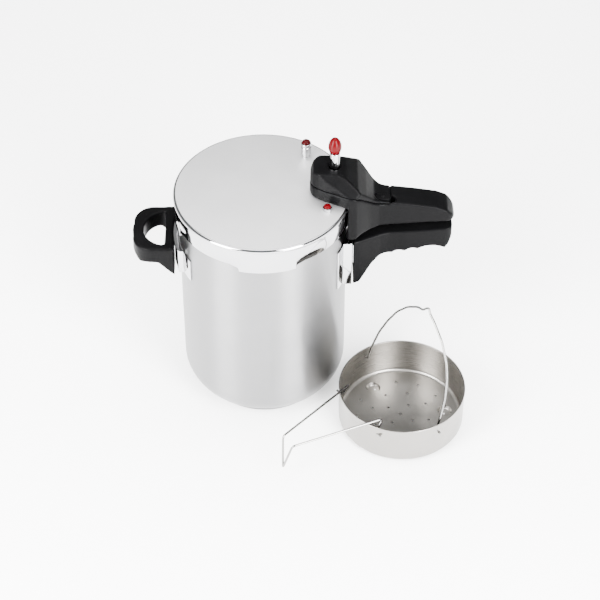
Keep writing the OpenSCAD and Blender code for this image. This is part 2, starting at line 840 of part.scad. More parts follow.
module lock_button() {
    color("dimgray") {
        translate([button_x - button_r, button_y, 0])
            oblong(2 * button_r, button_r, bolt_low + bolt_t + 3, button_top);
        translate([button_x - 2, button_y, button_top - 0.1])
            rotate([90, 0, 90]) cylinder(r = 1.2, h = 4, $fn = 32);
    }
}

module lock_bolt() {
    color("silver") {
        translate([bolt_tip, -bolt_half, bolt_low])
            cube([button_x + 4 - bolt_tip, 2 * bolt_half, bolt_t]);
        translate([button_x - 4, button_y - 3, bolt_low])
            cube([8, bolt_half + 3 - button_y, bolt_t + 3 - eps]);
    }
}

module lock_spring() {
    length = channel_end - button_x - 4 - 0.4;
    color("silver")
        translate([button_x + 4 + 0.2, 0, bolt_low + bolt_t / 2])
            rotate([0, 90, 0]) coil(1.7, 0.35, length, 6);
}

// ---- basket ----

module at_basket() {
    translate([basket_x, basket_y, 0]) rotate([0, 0, basket_dir]) children();
}

function basket_outline(r, corner, z0, z1) =
    concat([[0, z0]], arc(r - corner, z0 + corner, corner, -90, 0, 6), [[r, z1], [0, z1]]);

module basket() {
    foot_r = 9.5;
    foot_at = 61;
    color("silver")
        at_basket() {
            difference() {
                union() {
                    difference() {
                        rotate_extrude() polygon(basket_outline(basket_r, 6, basket_floor - basket_t, basket_h));
                        rotate_extrude()
                            polygon(basket_outline(basket_r - basket_t, 5, basket_floor, basket_h + over));
                    }
                    ring(basket_r - basket_t, basket_r + 0.8, basket_h - 1.8, basket_h);
                    for (a = [32, 152, 272]) {
                        rotate([0, 0, a]) translate([foot_at, 0, 0]) ring(foot_r - 2.5, foot_r, 0, basket_floor - 0.5);
                    }
                }
                // Steam holes in three rings and one in the middle
                translate([0, 0, -over]) cylinder(r = 1.6, h = basket_floor + 2 * over);
                for (k = [1:3], i = [0:k * 4 - 1]) {
                    rotate([0, 0, i * 90 / k + 20 * k])
                        translate([k * basket_r * 0.235, 0, -over]) cylinder(r = 1.6, h = basket_floor + 2 * over);
                }
                // Pivot holes of the upright handle, then of the folded one
                translate([0, 0, pivot_z])
                    rotate([90, 0, 0]) cylinder(r = hole_r, h = 3 * basket_r, center = true);
                translate([lifter_offset, 0, lifter_pivot_z])
                    rotate([90, 0, 0]) cylinder(r = hole_r, h = 2 * basket_r, center = true);
            }
        }
}

// The upright handle in its own plane: across, then up from the pivot
bail_half = 79;
bail_points = concat(
    [[bail_half + 9, 0], [bail_half, 0], [bail_half + 0.5, 26], [bail_half - 1, 54], [bail_half - 7, 80],
        [bail_half - 17, 103], [bail_half - 34, 124], [bail_half - 58, 141]],
    [[10, bail_h - 2], [6, bail_h + 4], [1, bail_h + 1], [-4, bail_h - 6], [-14, bail_h - 8]],
    [[-bail_half + 46, bail_h - 22], [-bail_half + 30, 106], [-bail_half + 17, 80], [-bail_half + 7, 52],
        [-bail_half + 1.5, 24], [-bail_half, 0], [-bail_half - 9, 0]]);

module basket_bail() {
    color("silver")
        at_basket()
            translate([0, 0, pivot_z])
                rotate([0, -bail_lean, 0])
                    wire([for (p = bail_points) [0, p[0], p[1]]], wire_r);
}

// The folded handle: out along its own direction, across, up
module basket_lifter() {
    pivot_half = sqrt(pow(basket_r, 2) - pow(lifter_offset, 2));
    bend_half = pivot_half - 8;
    over_rim = basket_h + wire_r + 2.6;
    half = [[lifter_offset, pivot_half + 5, lifter_pivot_z], [lifter_offset, pivot_half - 5, lifter_pivot_z],
        [60, bend_half, over_rim], [186, 11, over_rim - 1]];
    tip = [[194, 0, 18]];
    points = concat(half, tip, [for (i = [3:-1:0]) [half[i][0], -half[i][1], half[i][2]]]);
    color("silver") at_basket() wire(points, wire_r);
}

pot_shell();
base_disc();
base_cap();
helper_bracket();
helper_ferrule();
helper_handle();
helper_screws();
handle_bracket();
handle_ferrule();
pot_handle();
handle_screws();
gasket();
lid();
lid_studs();
stud_screws();
lid_handle_base();
lid_handle_cover();
cover_screws();
vent_pipe();
vent_nut();
valve_seals();
safety_valve_body();
safety_plug();
safety_nut();
indicator_guide();
indicator_nut();
regulator_weight();
regulator_knob();
safety_cap();
safety_spring();
indicator_pin();
lock_button();
lock_bolt();
lock_spring();
basket();
basket_bail();
basket_lifter();
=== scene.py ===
"""A tall stovetop pressure cooker with its steamer basket, dressed and lit for a studio picture.

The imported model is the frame. Every visible outer piece is modelled here over its CAD node, and the
small inner pieces keep their CAD meshes and only get a finish.
"""

import logging
import math
from dataclasses import dataclass, field
from enum import Enum

import bpy
from mathutils import Matrix, Vector


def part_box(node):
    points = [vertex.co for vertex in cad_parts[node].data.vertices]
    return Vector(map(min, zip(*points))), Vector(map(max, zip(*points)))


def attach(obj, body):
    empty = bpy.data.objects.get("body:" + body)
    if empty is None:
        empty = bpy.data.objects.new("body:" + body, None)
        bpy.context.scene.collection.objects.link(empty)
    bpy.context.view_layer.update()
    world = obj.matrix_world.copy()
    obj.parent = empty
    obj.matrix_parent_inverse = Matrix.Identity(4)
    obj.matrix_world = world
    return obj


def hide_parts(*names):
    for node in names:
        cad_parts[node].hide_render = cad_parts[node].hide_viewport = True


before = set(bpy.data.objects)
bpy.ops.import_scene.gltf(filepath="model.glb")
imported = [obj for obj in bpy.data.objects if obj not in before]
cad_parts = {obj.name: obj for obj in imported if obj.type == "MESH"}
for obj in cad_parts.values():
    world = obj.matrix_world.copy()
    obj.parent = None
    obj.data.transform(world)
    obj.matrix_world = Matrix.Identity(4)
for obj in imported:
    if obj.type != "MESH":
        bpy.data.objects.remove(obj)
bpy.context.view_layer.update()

LOG = logging.getLogger("cooker")
MM = 0.001

UPRIGHT = 0.25      # turn of the tangent that draws highlights out along Z
MOULD_GLARE = 0.03  # specular level of the moulded handles
GLOSS_GLARE = 0.07  # specular level of coloured plastic and rubber

Point2 = tuple[float, float]
Corner = tuple[float, float, float]
Point3 = tuple[float, float, float]


# ---------------------------------------------------------------- finishes


class Brushing(Enum):
    """The direction in which a steel surface was brushed."""

    NONE = "none"
    ROUND = "round"
    LEVEL = "level"


class Nodes:
    """A short hand for wiring a material's node tree."""

    def __init__(self, name: str) -> None:
        """Starts a material with only its shader and output.

        Args:
            name: the material's name.
        """
        self.material = bpy.data.materials.new(name)
        self.material.use_nodes = True
        self.tree = self.material.node_tree
        self.shader = self.tree.nodes["Principled BSDF"]

    def add(self, kind: str, **settings: object) -> bpy.types.Node:
        """Adds a node.

        Args:
            kind: the node's type name.
            settings: properties of the node, or values of its inputs by name.

        Returns:
            The new node.
        """
        node = self.tree.nodes.new(kind)
        for key, value in settings.items():
            if key in node.bl_rna.properties:
                setattr(node, key, value)
            else:
                node.inputs[key.replace("_", " ")].default_value = value
        return node

    def link(self, source: bpy.types.NodeSocket, target: bpy.types.NodeSocket) -> None:
        """Joins two sockets."""
        self.tree.links.new(source, target)

    def place(self, scale: Point3 = (1.0, 1.0, 1.0)) -> bpy.types.NodeSocket:
        """Gives object coordinates, stretched along the axes.

        Args:
            scale: the factor on each axis.

        Returns:
            The socket that holds the stretched coordinates.
        """
        coordinates = self.add("ShaderNodeTexCoord")
        mapping = self.add("ShaderNodeMapping", Scale=scale)
        self.link(coordinates.outputs["Object"], mapping.inputs["Vector"])
        return mapping.outputs["Vector"]

    def noise(self, where: bpy.types.NodeSocket, scale: float, detail: float = 3.0) -> bpy.types.NodeSocket:
        """Gives a noise value at the coordinates in where."""
        node = self.add("ShaderNodeTexNoise", Scale=scale, Detail=detail, Roughness=0.6)
        self.link(where, node.inputs["Vector"])
        return node.outputs["Fac"]

    def ranged(self, value: bpy.types.NodeSocket, low: float, high: float,
               start: float = 0.3, end: float = 0.7) -> bpy.types.NodeSocket:
        """Maps value from start..end to low..high."""
        node = self.add("ShaderNodeMapRange")
        node.inputs["From Min"].default_value = start
        node.inputs["From Max"].default_value = end
        node.inputs["To Min"].default_value = low
        node.inputs["To Max"].default_value = high
        self.link(value, node.inputs["Value"])
        return node.outputs["Result"]

    def bump(self, height: bpy.types.NodeSocket, strength: float, distance: float) -> None:
        """Raises the surface by a height map."""
        node = self.add("ShaderNodeBump", Strength=strength, Distance=distance)
        self.link(height, node.inputs["Height"])
        self.link(node.outputs["Normal"], self.shader.inputs["Normal"])


@dataclass(frozen=True)
class Steel:
    """Stainless steel, chrome or aluminium.

    Attributes:
        name: the finish's name.
        colour: the metal's reflection colour.
        smooth: roughness where it is smoothest.
        rough: roughness where it is dullest.
        brushing: direction of the brush marks.
        marks: depth of the brush marks, in millimetres.
        stretch: how far highlights are drawn out along the upright axis, from 0 to 1.
    """

    name: str
    colour: Point3
    smooth: float
    rough: float
    brushing: Brushing = Brushing.NONE
    marks: float = 0.0
    stretch: float = 0.0

    def material(self) -> bpy.types.Material:
        """Builds the metal with its brush marks and faint smudges."""
        nodes = Nodes(self.name)
        nodes.shader.inputs["Metallic"].default_value = 1.0
        smudge = nodes.noise(nodes.place(), 22.0, 4.0)
        if self.brushing is Brushing.NONE:
            height = nodes.noise(nodes.place(), 900.0, 2.0)
            value = smudge
        elif self.brushing is Brushing.LEVEL:
            height = nodes.noise(nodes.place((18.0, 18.0, 2600.0)), 1.0, 3.0)
            value = height
        else:
            height = nodes.noise(self.rings(nodes), 1.0, 3.0)
            value = height
        nodes.link(nodes.ranged(value, self.smooth, self.rough), nodes.shader.inputs["Roughness"])
        tint = nodes.add("ShaderNodeMix", data_type="RGBA")
        tint.inputs[6].default_value = (*[c * 0.93 for c in self.colour], 1.0)
        tint.inputs[7].default_value = (*self.colour, 1.0)
        nodes.link(nodes.ranged(smudge, 0.0, 1.0), tint.inputs[0])
        nodes.link(tint.outputs[2], nodes.shader.inputs["Base Color"])
        if self.marks:
            nodes.bump(height, 0.25, self.marks * MM)
        if self.stretch:
            nodes.shader.inputs["Anisotropic"].default_value = self.stretch
            nodes.shader.inputs["Anisotropic Rotation"].default_value = UPRIGHT
            tangent = nodes.add("ShaderNodeTangent", direction_type="RADIAL", axis="Z")
            nodes.link(tangent.outputs["Tangent"], nodes.shader.inputs["Tangent"])
        return nodes.material

    def rings(self, nodes: Nodes) -> bpy.types.NodeSocket:
        """Coordinates that change quickly outwards and slowly round the axis."""
        split = nodes.add("ShaderNodeSeparateXYZ")
        nodes.link(nodes.place(), split.inputs["Vector"])
        flat = nodes.add("ShaderNodeCombineXYZ")
        nodes.link(split.outputs["X"], flat.inputs["X"])
        nodes.link(split.outputs["Y"], flat.inputs["Y"])
        length = nodes.add("ShaderNodeVectorMath", operation="LENGTH")
        nodes.link(flat.outputs["Vector"], length.inputs[0])
        stretch = nodes.add("ShaderNodeMath", operation="MULTIPLY")
        nodes.link(length.outputs["Value"], stretch.inputs[0])
        stretch.inputs[1].default_value = 3200.0
        rings = nodes.add("ShaderNodeCombineXYZ")
        nodes.link(stretch.outputs["Value"], rings.inputs["X"])
        return rings.outputs["Vector"]


@dataclass(frozen=True)
class Phenolic:
    """Black moulded plastic with a fine sparkle of the mould's grain.

    Attributes:
        name: the finish's name.
        colour: the plastic's colour.
        roughness: how dull it is on average.
    """

    name: str
    colour: Point3
    roughness: float

    def material(self) -> bpy.types.Material:
        """Builds the plastic with grain and handling marks."""
        nodes = Nodes(self.name)
        grain = nodes.noise(nodes.place(), 1400.0, 2.0)
        wear = nodes.noise(nodes.place(), 35.0, 4.0)
        nodes.link(nodes.ranged(wear, self.roughness - 0.06, self.roughness + 0.08),
                   nodes.shader.inputs["Roughness"])
        tint = nodes.add("ShaderNodeMix", data_type="RGBA")
        tint.inputs[6].default_value = (*self.colour, 1.0)
        tint.inputs[7].default_value = (*[c * 1.5 for c in self.colour], 1.0)
        nodes.link(nodes.ranged(wear, 0.0, 1.0), tint.inputs[0])
        nodes.link(tint.outputs[2], nodes.shader.inputs["Base Color"])
        nodes.bump(grain, 0.18, 0.1 * MM)
        nodes.shader.inputs["Specular IOR Level"].default_value = MOULD_GLARE
        return nodes.material


@dataclass(frozen=True)
class Gloss:
    """Glossy coloured plastic, or soft rubber when it is rough.

    Attributes:
        name: the finish's name.
        colour: the colour.
        roughness: how dull it is.
        coat: strength of the clear layer.
    """

    name: str
    colour: Point3
    roughness: float
    coat: float

    def material(self) -> bpy.types.Material:
        """Builds the plastic with a faint cloud in its colour."""
        nodes = Nodes(self.name)
        cloud = nodes.noise(nodes.place(), 160.0, 3.0)
        tint = nodes.add("ShaderNodeMix", data_type="RGBA")
        tint.inputs[6].default_value = (*[c * 0.85 for c in self.colour], 1.0)
        tint.inputs[7].default_value = (*self.colour, 1.0)
        nodes.link(nodes.ranged(cloud, 0.0, 1.0), tint.inputs[0])
        nodes.link(tint.outputs[2], nodes.shader.inputs["Base Color"])
        nodes.link(nodes.ranged(cloud, self.roughness * 0.85, self.roughness * 1.2),
                   nodes.shader.inputs["Roughness"])
        nodes.shader.inputs["Specular IOR Level"].default_value = GLOSS_GLARE
        nodes.shader.inputs["Coat Weight"].default_value = self.coat
        nodes.shader.inputs["Coat Roughness"].default_value = 0.05
        return nodes.material


Finish = Steel | Phenolic | Gloss

BODY_STEEL = Steel("body_steel", (0.21, 0.21, 0.2125), 0.29, 0.32, stretch=0.93)
PLATE_STEEL = Steel("plate_steel", (0.86, 0.86, 0.865), 0.44, 0.50, Brushing.ROUND, 0.006)
RIM_STEEL = Steel("rim_steel", (0.44, 0.44, 0.45), 0.05, 0.09)
BASKET_STEEL = Steel("basket_steel", (0.24, 0.23, 0.215), 0.24, 0.38, Brushing.LEVEL, 0.02)
FLOOR_STEEL = Steel("basket_floor_steel", (0.26, 0.25, 0.235), 0.28, 0.40)
CHROME = Steel("chrome", (0.46, 0.46, 0.47), 0.04, 0.08)
WIRE_STEEL = Steel("wire_steel", (0.20, 0.197, 0.19), 0.14, 0.22)
ZINC = Steel("zinc", (0.62, 0.63, 0.64), 0.28, 0.38)
ALUMINIUM = Steel("sawn_aluminium", (0.70, 0.70, 0.72), 0.35, 0.5, Brushing.LEVEL, 0.02)
BLACK = Phenolic("black_phenolic", (0.0011, 0.0011, 0.0012), 0.34)
RED = Gloss("red_plastic", (0.045, 0.0002, 0.0012), 0.20, 0.0)
# the same red plastic, painted darker: painted shade from the handle's hood over the safety valve
HOOD_SHADED_RED = Gloss("red_plastic_hood_shade", (0.022, 0.0002, 0.0008), 0.30, 0.0)
SILICONE = Gloss("silicone", (0.70, 0.70, 0.67), 0.55, 0.0)
BLACK_RUBBER = Gloss("black_rubber", (0.02, 0.02, 0.02), 0.60, 0.0)


class Paintbox:
    """Makes each finish's material once and hands it out."""

    def __init__(self) -> None:
        """Starts with no materials."""
        self.made: dict[str, bpy.types.Material] = {}

    def get(self, finish: Finish) -> bpy.types.Material:
        """Gives the finish's material, made at its first use."""
        if finish.name not in self.made:
            self.made[finish.name] = finish.material()
        return self.made[finish.name]


PAINT = Paintbox()


# ---------------------------------------------------------------- workshop


def deselect() -> None:
    """Leaves edit mode and deselects every object."""
    if bpy.context.object and bpy.context.object.mode != "OBJECT":
        bpy.ops.object.mode_set(mode="OBJECT")
    bpy.ops.object.select_all(action="DESELECT")


def pick(piece: bpy.types.Object) -> None:
    """Makes piece the only selected object, and the active one."""
    deselect()
    piece.select_set(True)
    bpy.context.view_layer.objects.active = piece


def edit_all(piece: bpy.types.Object) -> None:
    """Opens piece in edit mode with everything selected."""
    pick(piece)
    bpy.ops.object.mode_set(mode="EDIT")
    bpy.ops.mesh.select_all(action="SELECT")


def close_edit() -> None:
    """Returns to object mode."""
    bpy.ops.object.mode_set(mode="OBJECT")


def rounded(corners: list[Corner], segments: int = 6) -> list[Point2]:
    """Rounds the corners of a closed outline.

    Args:
        corners: x, y and the radius at each corner.
        segments: steps in each round.

    Returns:
        The outline's points.
    """
    points: list[Point2] = []
    count = len(corners)
    for index, (x, y, radius) in enumerate(corners):
        here = Vector((x, y))
        if radius <= 0.0:
            points.append((x, y))
            continue
        back = Vector(corners[index - 1][:2]) - here
        ahead = Vector(corners[(index + 1) % count][:2]) - here
        half = back.angle(ahead) / 2
        reach = min(radius / math.tan(half), 0.49 * back.length, 0.49 * ahead.length)
        start = here + back.normalized() * reach
        end = here + ahead.normalized() * reach
        centre = here + (back.normalized() + ahead.normalized()).normalized() * (reach / math.cos(half))
        for step in range(segments + 1):
            arm = start.lerp(end, step / segments) - centre
            bend = centre + arm.normalized() * (start - centre).length
            points.append((bend.x, bend.y))
    return points


def arc(centre: Point2, radius: float, first: float, last: float, steps: int) -> list[Corner]:
    """Points on an arc, as corners without a round.

    Args:
        centre: the arc's centre.
        radius: its radius.
        first: direction of its first point, in degrees.
        last: direction of its last point, in degrees.
        steps: number of steps between them.

    Returns:
        The points, each with a radius of 0.
    """
    turns = [math.radians(first + (last - first) * i / steps) for i in range(steps + 1)]
    return [(centre[0] + radius * math.cos(t), centre[1] + radius * math.sin(t), 0.0) for t in turns]


def smooth(piece: bpy.types.Object, degrees: float = 35.0) -> None:
    """Shades piece smooth across edges flatter than the angle."""
    pick(piece)
    bpy.ops.object.shade_smooth_by_angle(angle=math.radians(degrees))


def ring_of_points(name: str, places: list[Point3]) -> bpy.types.Object:
    """Adds a ring of edges and moves its points into place.

    Args:
        name: the new object's name.
        places: a place for each point, in metres.

    Returns:
        The new object.
    """
    deselect()
    bpy.ops.mesh.primitive_circle_add(vertices=len(places), radius=1.0, location=(0, 0, 0))
    piece = bpy.context.active_object
    piece.name = name
    for vertex, place in zip(piece.data.vertices, places):
        vertex.co = place
    return piece


def spun(name: str, outline: list[Point2], centre: Point2 = (0.0, 0.0), steps: int = 160) -> bpy.types.Object:
    """Spins a closed outline round an upright axis.

    Args:
        name: the piece's name.
        outline: radius and height of each point, in millimetres.
        centre: where the axis stands, in metres.
        steps: number of steps round the axis.

    Returns:
        The closed piece.
    """
    piece = ring_of_points(name, [(r * MM, 0.0, z * MM) for r, z in outline])
    edit_all(piece)
    bpy.ops.mesh.spin(steps=steps, angle=2 * math.pi, center=(0, 0, 0), axis=(0, 0, 1))
    bpy.ops.mesh.select_all(action="SELECT")
    bpy.ops.mesh.remove_doubles(threshold=2e-6)
    bpy.ops.mesh.delete_loose()
    bpy.ops.mesh.select_all(action="SELECT")
    bpy.ops.mesh.normals_make_consistent(inside=False)
    close_edit()
    piece.data.transform(Matrix.Translation((centre[0], centre[1], 0.0)))
    smooth(piece)
    return piece


def slab(name: str, outline: list[Point3], push: Point3) -> bpy.types.Object:
    """Fills a ring of points and extrudes it.

    Args:
        name: the piece's name.
        outline: the ring's points, in metres.
        push: how far and which way it is extruded, in metres.

    Returns:
        The closed piece.
    """
    piece = ring_of_points(name, outline)
    edit_all(piece)
    bpy.ops.mesh.edge_face_add()
    bpy.ops.mesh.extrude_region_move(TRANSFORM_OT_translate={"value": push})
    bpy.ops.mesh.select_all(action="SELECT")
    bpy.ops.mesh.normals_make_consistent(inside=False)
    close_edit()
    return piece


def apply(piece: bpy.types.Object, kind: str, **settings: object) -> None:
    """Adds one modifier to piece and applies it.

    Args:
        piece: the object.
        kind: the modifier's type.
        settings: the modifier's properties.
    """
    pick(piece)
    modifier = piece.modifiers.new(kind.lower(), kind)
    for key, value in settings.items():
        setattr(modifier, key, value)
    bpy.ops.object.modifier_apply(modifier=modifier.name)


def cut(piece: bpy.types.Object, cutter: bpy.types.Object, operation: str = "DIFFERENCE") -> None:
    """Combines piece with cutter, and removes the cutter."""
    apply(piece, "BOOLEAN", object=cutter, operation=operation, solver="EXACT")
    bpy.data.objects.remove(cutter, do_unlink=True)


def copy_of(node: str, name: str) -> bpy.types.Object:
    """Copies a CAD node's mesh into a new object with its corners joined.

    Args:
        node: the CAD node.
        name: the new object's name.

    Returns:
        The new object.
    """
    piece = bpy.data.objects.new(name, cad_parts[node].data.copy())
    bpy.context.scene.collection.objects.link(piece)
    piece.data.materials.clear()
    edit_all(piece)
    bpy.ops.mesh.customdata_custom_splitnormals_clear()
    bpy.ops.mesh.remove_doubles(threshold=2e-6)
    close_edit()
    return piece


def moulded(node: str, name: str, grid: float, rounds: int) -> bpy.types.Object:
    """Copies a CAD node and softens it as a mould does.

    Args:
        node: the CAD node.
        name: the new object's name.
        grid: size of the new mesh's faces, in millimetres.
        rounds: passes of smoothing; more give rounder edges.

    Returns:
        The soft-edged piece.
    """
    piece = copy_of(node, name)
    apply(piece, "REMESH", mode="VOXEL", voxel_size=grid * MM)
    apply(piece, "SMOOTH", factor=0.5, iterations=rounds)
    return piece


def pressed(node: str, name: str, edge: float) -> bpy.types.Object:
    """Copies a CAD node, joins its flat faces and breaks its edges.

    Args:
        node: the CAD node.
        name: the new object's name.
        edge: width of the broken edges, in millimetres.

    Returns:
        The sharp piece with small rounds on its edges.
    """
    piece = copy_of(node, name)
    edit_all(piece)
    bpy.ops.mesh.dissolve_limited(angle_limit=math.radians(1.0))
    close_edit()
    apply(piece, "BEVEL", width=edge * MM, segments=3, limit_method="ANGLE", angle_limit=math.radians(40),
          use_clamp_overlap=True)
    smooth(piece, 30.0)
    return piece


def wire(name: str, points: list[Point3], radius: float, bend: float, place: Matrix) -> bpy.types.Object:
    """Bends a round wire through points.

    Args:
        name: the piece's name.
        points: the corners of its line, in millimetres.
        radius: the wire's radius, in millimetres.
        bend: how far from each corner the bend starts, in millimetres.
        place: the frame that the points are in.

    Returns:
        The wire as a closed mesh.
    """
    line = [Vector(points[0])]
    for before, here, after in zip(points, points[1:], points[2:]):
        corner = Vector(here)
        back, ahead = Vector(before) - corner, Vector(after) - corner
        start = corner + back.normalized() * min(bend, 0.45 * back.length)
        end = corner + ahead.normalized() * min(bend, 0.45 * ahead.length)
        for step in range(7):
            t = step / 6
            line.append(start * (1 - t) ** 2 + corner * 2 * t * (1 - t) + end * t ** 2)
    line.append(Vector(points[-1]))
    curve = bpy.data.curves.new(name, "CURVE")
    curve.dimensions = "3D"
    curve.bevel_depth = radius * MM
    curve.bevel_resolution = 5
    curve.use_fill_caps = True
    spline = curve.splines.new("POLY")
    spline.points.add(len(line) - 1)
    for knot, point in zip(spline.points, line):
        knot.co = (*(place @ (point * MM)), 1.0)
    piece = bpy.data.objects.new(name, curve)
    bpy.context.scene.collection.objects.link(piece)
    pick(piece)
    bpy.ops.object.convert(target="MESH")
    piece = bpy.context.active_object
    edit_all(piece)
    bpy.ops.mesh.remove_doubles(threshold=2e-6)
    bpy.ops.mesh.normals_make_consistent(inside=False)
    close_edit()
    smooth(piece, 50.0)
    return piece


def hand_over(piece: bpy.types.Object, finish: Finish, slot: str, body: str, *nodes: str) -> bpy.types.Object:
    """Dresses a finished piece and puts it in the place of its CAD nodes.

    Args:
        piece: the finished piece.
        finish: its finish.
        slot: the record's material slot; not used.
        body: the CAD body that it rides on.
        nodes: the CAD nodes that it stands for.

    Returns:
        The piece.
    """
    if not piece.data.materials:
        piece.data.materials.append(PAINT.get(finish))
    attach(piece, body)
    if nodes:
        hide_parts(*nodes)
    LOG.info("%s: %d faces, rides on %s", piece.name, len(piece.data.polygons), body)
    return piece


def add_finish(piece: bpy.types.Object, finishes: list[Finish]) -> None:
    """Puts several finishes in piece's slots, in order."""
    for finish in finishes:
        piece.data.materials.append(PAINT.get(finish))


# ---------------------------------------------------------------- pot


@dataclass
class Pot:
    """The pot's wall, bottom and rim, and the capped base under it. Sizes are in millimetres."""

    rim: float = field(default_factory=lambda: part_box("pot_shell")[1].z / MM)
    foot: float = field(default_factory=lambda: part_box("pot_shell")[0].z / MM)
    flange: float = field(default_factory=lambda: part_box("gasket")[1].x / MM - 0.1)
    radius: float = 110.0
    wall: float = 1.2
    curve: float = 45.0
    cap_radius: float = field(default_factory=lambda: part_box("base_cap")[1].x / MM)
    lug_foot: float = field(default_factory=lambda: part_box("lid")[0].z / MM)
    bottom: float = 1.5
    lip_room: float = 2.2
    tab: float = 3.8
    tab_width: float = 36.0
    flange_sheet: float = 1.2
    flange_width: float = 51.0
    lug_turn: float = -86.0
    lid_turn: float = 40.0
    lugs: int = 4

    def build(self) -> None:
        """Builds the pot and its base cap."""
        self.shell()
        self.cap()

    def shell(self) -> None:
        """Spins the wall and the rounded bottom, and adds the rim flange and the bayonet tabs."""
        inner = self.radius - self.wall
        corners = [
            (0, self.foot, 0), (self.radius, self.foot, self.curve),
            (self.radius, self.rim, 0.4), (inner, self.rim, 0.4),
            (inner, self.foot + self.bottom, self.curve - self.wall), (0, self.foot + self.bottom, 0),
        ]
        piece = spun("pot_wall", rounded(corners, 18), steps=192)
        share = 360.0 / self.lugs
        tab_low = self.lug_foot + self.lip_room
        flange_low, flange_top = self.rim - self.flange_sheet, self.rim - 0.05
        for index in range(self.lugs):
            tab_at = self.lug_turn + index * share
            flange_at = tab_at + self.lid_turn - share / 2
            cut(piece, self.ledge(tab_low, tab_low + self.tab, tab_at, self.tab_width), "UNION")
            cut(piece, self.ledge(flange_low, flange_top, flange_at, self.flange_width), "UNION")
        smooth(piece)
        hand_over(piece, BODY_STEEL, "satin_steel", "pot", "pot_shell")

    def ledge(self, low: float, high: float, middle: float, width: float) -> bpy.types.Object:
        """Makes a part of a ring round the wall.

        Args:
            low: height of its underside.
            high: height of its top.
            middle: direction of its middle, in degrees.
            width: how far it reaches round the wall, in degrees.

        Returns:
            The closed piece, which starts inside the wall.
        """
        steps = 24
        turns = [math.radians(middle + width * (i / steps - 0.5)) for i in range(steps + 1)]
        outer = [(self.flange * MM * math.cos(t), self.flange * MM * math.sin(t), low * MM) for t in turns]
        root = (self.radius - self.wall / 2) * MM
        inner = [(root * math.cos(t), root * math.sin(t), low * MM) for t in reversed(turns)]
        return slab("ledge", outer + inner, (0, 0, (high - low) * MM))

    def cap(self) -> None:
        """Spins the thin cup that closes the heat spreader, up to where the pot's curve meets it."""
        sheet = 0.8
        offset = self.cap_radius - (self.radius - self.curve)
        meet = self.foot + self.curve - math.sqrt(self.curve ** 2 - offset ** 2)
        corners = [
            (0, 0, 0), (self.cap_radius, 0, 2.5), (self.cap_radius, meet - 0.3, 0.3),
            (self.cap_radius - sheet, meet - 0.7, 0), (self.cap_radius - sheet, sheet, 1.6), (0, sheet, 0),
        ]
        piece = spun("base_cup", rounded(corners), steps=192)
        hand_over(piece, BODY_STEEL, "satin_steel", "pot", "base_cap")


@dataclass
class Fittings:
    """Brackets and bright sleeves that carry the handles."""

    edge: float = 0.5

    def build(self) -> None:
        """Builds both brackets and both sleeves."""
        for side in ("helper", "handle"):
            bracket = pressed(f"{side}_bracket", f"{side}_bracket_plate", self.edge)
            hand_over(bracket, CHROME, "satin_steel", "pot", f"{side}_bracket")
            sleeve = pressed(f"{side}_ferrule", f"{side}_sleeve", self.edge)
            hand_over(sleeve, CHROME, "chrome", "pot", f"{side}_ferrule")


@dataclass
class Grips:
    """The moulded handles of pot and lid.

    Attributes:
        grid: size of the softened faces, in millimetres.
        rounds: passes of smoothing.
        hood_grid: the same for the cover over the valve head.
        hood_rounds: the same for the cover over the valve head.
    """

    grid: float = 1.0
    rounds: int = 36
    hood_grid: float = 0.8
    hood_rounds: int = 30

    def build(self) -> None:
        """Builds the four moulded pieces."""
        self.helper()
        self.long_handle()
        self.lid_base()
        self.lid_cover()

    def helper(self) -> None:
        """Softens the short loop handle."""
        piece = moulded("helper_handle", "helper_loop", self.grid, self.rounds)
        smooth(piece, 60.0)
        hand_over(piece, BLACK, "black_phenolic", "pot", "helper_handle")

    def long_handle(self) -> None:
        """Softens the long handle."""
        piece = moulded("pot_handle", "long_handle", self.grid, self.rounds)
        smooth(piece, 60.0)
        hand_over(piece, BLACK, "black_phenolic", "pot", "pot_handle")

    def lid_base(self) -> None:
        """Softens the lower shell of the lid's handle, with the grip."""
        piece = moulded("lid_handle_base", "lid_grip", self.grid, self.rounds)
        smooth(piece, 60.0)
        hand_over(piece, BLACK, "black_phenolic", "lid", "lid_handle_base")

    def lid_cover(self) -> None:
        """Softens the upper shell."""
        piece = moulded("lid_handle_cover", "lid_hood", self.hood_grid, self.hood_rounds)
        smooth(piece, 60.0)
        hand_over(piece, BLACK, "black_phenolic", "lid", "lid_handle_cover")


# ---------------------------------------------------------------- lid


